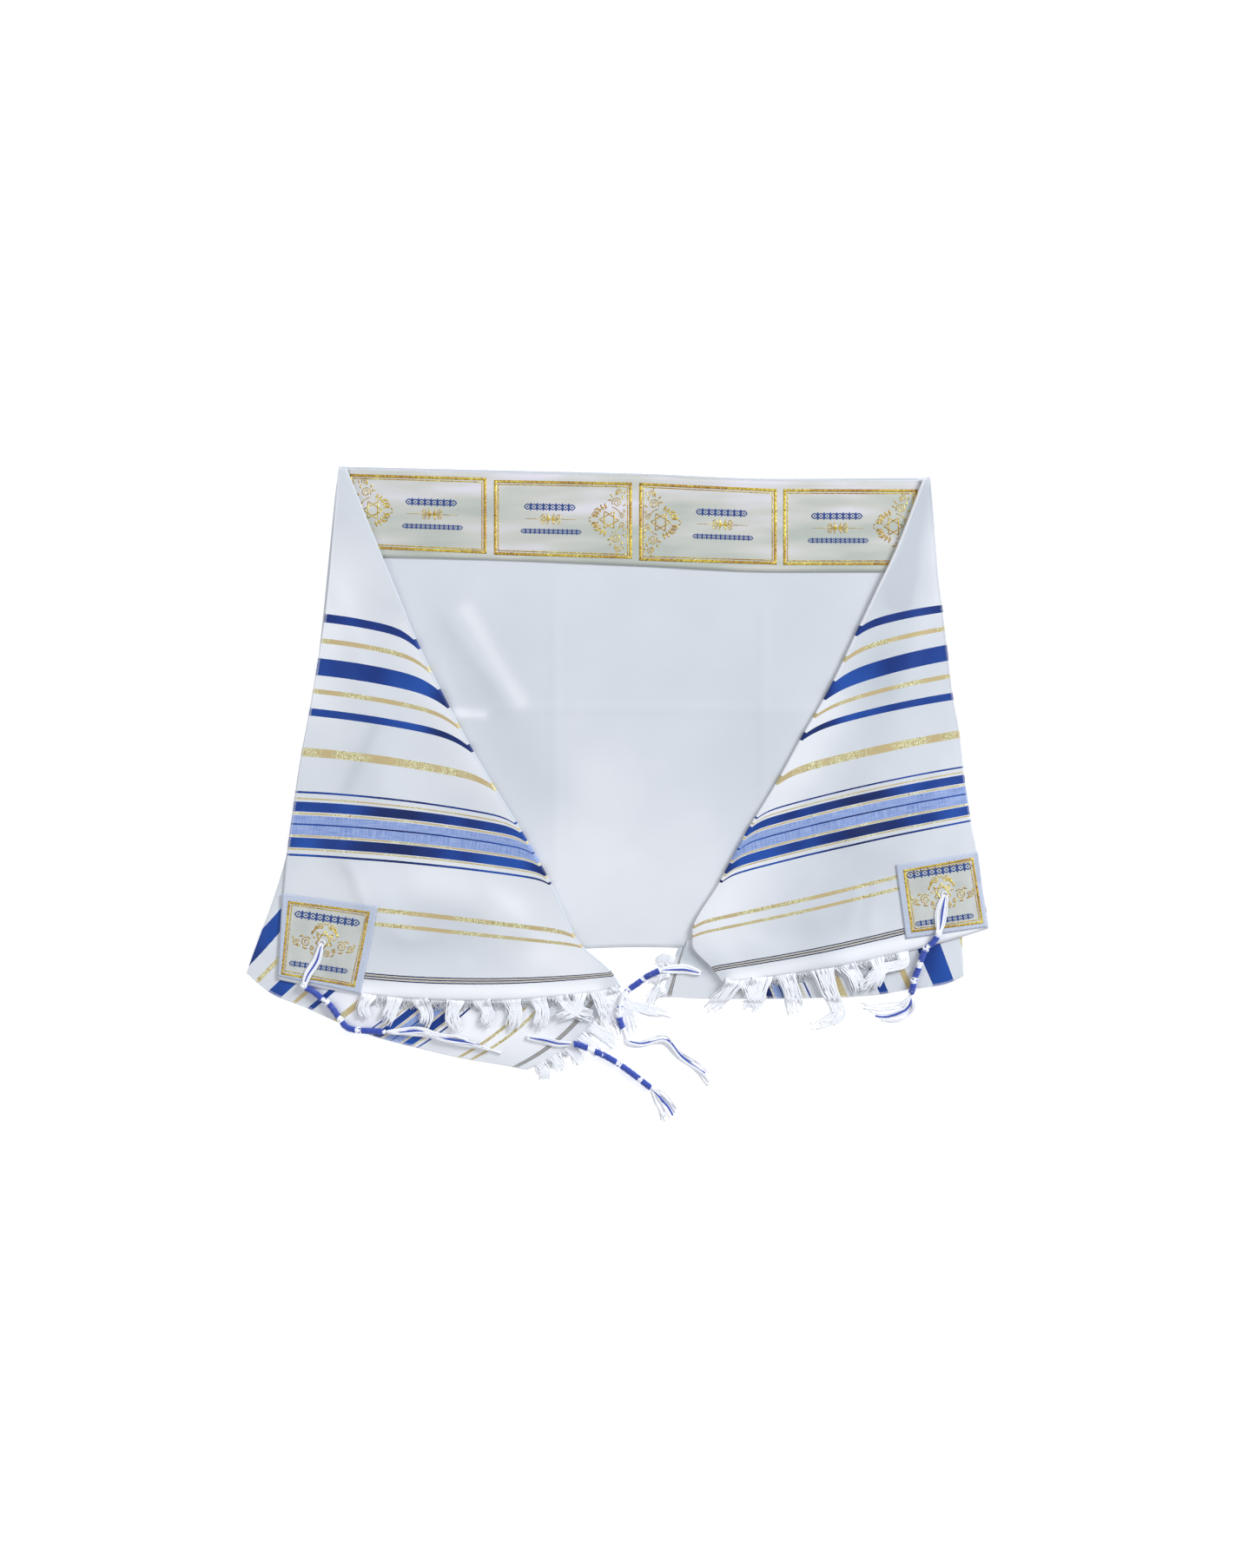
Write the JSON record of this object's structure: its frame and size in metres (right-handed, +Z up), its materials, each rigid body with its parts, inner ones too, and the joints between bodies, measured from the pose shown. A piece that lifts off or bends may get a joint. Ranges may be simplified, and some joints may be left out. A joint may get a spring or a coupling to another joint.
{
  "type": "tallit prayer shawl",
  "caption": "Rectangular striped prayer shawl laid flat, its ends folded to the front as flaps, with collar band, corner patches, fringe and wound corner tassels.",
  "frame": {"origin": "centre of the back panel's underside, on the surface that the shawl rests on", "axes": "+X along the collar, to the right as seen from above, +Y towards the collar, +Z up"},
  "size_m": [0.8632, 0.7691, 0.0154],
  "materials": {
    "cloth": "fine plain weave, matt",
    "collar_satin": "pearly satin with gold foil print",
    "patch_satin": "satin with gold foil print",
    "fringe_yarn": "loose twisted yarn",
    "tassel_cord": "wound cord"
  },
  "bodies": {
    "root": {"back_panel": "cloth", "left_flap": "cloth", "left_under": "cloth", "right_flap": "cloth", "right_under": "cloth", "collar": "collar_satin", "left_patch": "patch_satin", "right_patch": "patch_satin", "left_fringe": "fringe_yarn", "left_under_fringe": "fringe_yarn", "right_fringe": "fringe_yarn", "right_under_fringe": "fringe_yarn", "left_front_tassel": "tassel_cord", "right_front_tassel": "tassel_cord", "left_back_tassel": "tassel_cord", "right_back_tassel": "tassel_cord"}
  },
  "joints": []
}
